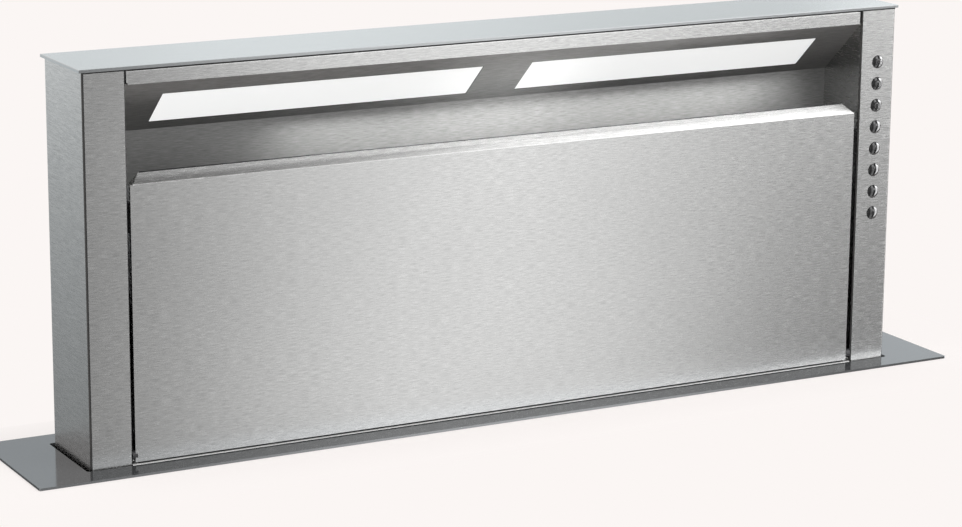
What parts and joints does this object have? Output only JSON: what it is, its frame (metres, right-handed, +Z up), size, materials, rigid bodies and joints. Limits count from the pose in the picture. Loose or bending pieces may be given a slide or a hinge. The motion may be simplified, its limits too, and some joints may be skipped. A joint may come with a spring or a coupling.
{
  "type": "downdraft vent",
  "caption": "Worktop downdraft vent: a slim steel tower on a screw lift, with an intake slot over a tilting front panel, grease filters, lamps, domed buttons and a duct case below.",
  "frame": {"origin": "middle of the tower's plan, in the plane of the worktop's surface (the worktop frame's underside)", "axes": "+X to the right as seen from the front, +Y to the back, +Z up"},
  "size_m": [1.08, 0.188, 1.1525],
  "materials": {
    "brushed_stainless": "horizontal brushed grain",
    "frame_stainless": "fine satin",
    "polished_buttons": "polished dome with a black sign",
    "galvanised_sheet": "zinc coated, dull",
    "filter_aluminium": "plain rolled",
    "lamp_glass": "frosted white",
    "screw_steel": "ground, oiled",
    "bronze": "machined",
    "black_plastic": "moulded",
    "gearbox_casting": "die cast",
    "motor_can": "satin black",
    "magnet_casing": "moulded",
    "black_rubber": "dull"
  },
  "bodies": {
    "root": {"worktop_frame": "frame_stainless", "frame_gasket": "black_rubber", "case_front": "galvanised_sheet", "case_back": "galvanised_sheet", "case_side_left": "galvanised_sheet", "case_side_right": "galvanised_sheet", "case_floor": "galvanised_sheet", "duct_floor": "galvanised_sheet", "duct_outlet": "galvanised_sheet", "guide_rail_left": "galvanised_sheet", "guide_rail_right": "galvanised_sheet", "mounting_brackets": "galvanised_sheet", "control_box": "galvanised_sheet", "control_cover": "galvanised_sheet", "inlet_gland": "black_plastic", "lift_gearbox": "gearbox_casting", "lift_motor": "motor_can", "screw_bearings": "bronze", "drive_belt": "black_rubber", "limit_switches": "black_plastic"},
    "tower": {"tower_back": "brushed_stainless", "post_left": "brushed_stainless", "post_right": "brushed_stainless", "lid": "frame_stainless", "lid_carrier": "galvanised_sheet", "head_fascia": "brushed_stainless", "recess_liner": "brushed_stainless", "lamp_cover_left": "lamp_glass", "lamp_cover_right": "lamp_glass", "lamp_housing_left": "filter_aluminium", "lamp_housing_right": "filter_aluminium", "filter_rail": "galvanised_sheet", "filter_left": "filter_aluminium", "filter_middle": "filter_aluminium", "filter_right": "filter_aluminium", "drip_tray": "galvanised_sheet", "sill_panel": "brushed_stainless", "tower_base": "galvanised_sheet", "slider_left": "black_plastic", "slider_right": "black_plastic", "lift_nut_left": "bronze", "lift_nut_right": "bronze", "button_board": "black_plastic", "panel_magnets": "magnet_casing", "panel_pivots": "screw_steel"},
    "front_panel": {"front_panel": "brushed_stainless", "panel_liner": "brushed_stainless"},
    "screw_left": {"lead_screw_left": "screw_steel", "belt_pulley_left": "black_plastic"},
    "screw_right": {"lead_screw_right": "screw_steel", "belt_pulley_right": "black_plastic"},
    "button_lamp": {"button_lamp": "polished_buttons"},
    "button_filter": {"button_filter": "polished_buttons"},
    "button_delay": {"button_delay": "polished_buttons"},
    "button_boost": {"button_boost": "polished_buttons"},
    "button_3": {"button_3": "polished_buttons"},
    "button_2": {"button_2": "polished_buttons"},
    "button_1": {"button_1": "polished_buttons"},
    "button_0": {"button_0": "polished_buttons"}
  },
  "joints": [
    {"name": "lift", "type": "slide", "parent": "root", "child": "tower", "axis": [0, 0, 1], "range_m": [-0.4, 0]},
    {"name": "panel_tilt", "type": "hinge", "parent": "tower", "child": "front_panel", "pos_m": [0, -0.0455, 0.0115], "axis": [1, 0, 0], "range_deg": [0, 25]},
    {"name": "button_lamp_press", "type": "slide", "parent": "tower", "child": "button_lamp", "axis": [0, 1, 0], "range_m": [0, 0.0015], "stiffness_N_per_m": 800, "springref_m": -0.0008},
    {"name": "button_filter_press", "type": "slide", "parent": "tower", "child": "button_filter", "axis": [0, 1, 0], "range_m": [0, 0.0015], "stiffness_N_per_m": 800, "springref_m": -0.0008},
    {"name": "button_delay_press", "type": "slide", "parent": "tower", "child": "button_delay", "axis": [0, 1, 0], "range_m": [0, 0.0015], "stiffness_N_per_m": 800, "springref_m": -0.0008},
    {"name": "button_boost_press", "type": "slide", "parent": "tower", "child": "button_boost", "axis": [0, 1, 0], "range_m": [0, 0.0015], "stiffness_N_per_m": 800, "springref_m": -0.0008},
    {"name": "button_3_press", "type": "slide", "parent": "tower", "child": "button_3", "axis": [0, 1, 0], "range_m": [0, 0.0015], "stiffness_N_per_m": 800, "springref_m": -0.0008},
    {"name": "button_2_press", "type": "slide", "parent": "tower", "child": "button_2", "axis": [0, 1, 0], "range_m": [0, 0.0015], "stiffness_N_per_m": 800, "springref_m": -0.0008},
    {"name": "button_1_press", "type": "slide", "parent": "tower", "child": "button_1", "axis": [0, 1, 0], "range_m": [0, 0.0015], "stiffness_N_per_m": 800, "springref_m": -0.0008},
    {"name": "button_0_press", "type": "slide", "parent": "tower", "child": "button_0", "axis": [0, 1, 0], "range_m": [0, 0.0015], "stiffness_N_per_m": 800, "springref_m": -0.0008},
    {"name": "screw_left_turn", "type": "hinge", "parent": "root", "child": "screw_left", "pos_m": [-0.45275, 0.01, -0.4], "axis": [0, 0, 1], "range_deg": [-1, 7201]},
    {"name": "screw_right_turn", "type": "hinge", "parent": "root", "child": "screw_right", "pos_m": [0.45275, 0.01, -0.4], "axis": [0, 0, 1], "range_deg": [-1, 7201]}
  ],
  "couplings": [
    {"joint": "screw_left_turn", "follows": "lift", "rad_per_m": -314.16},
    {"joint": "screw_right_turn", "follows": "lift", "rad_per_m": -314.16}
  ]
}
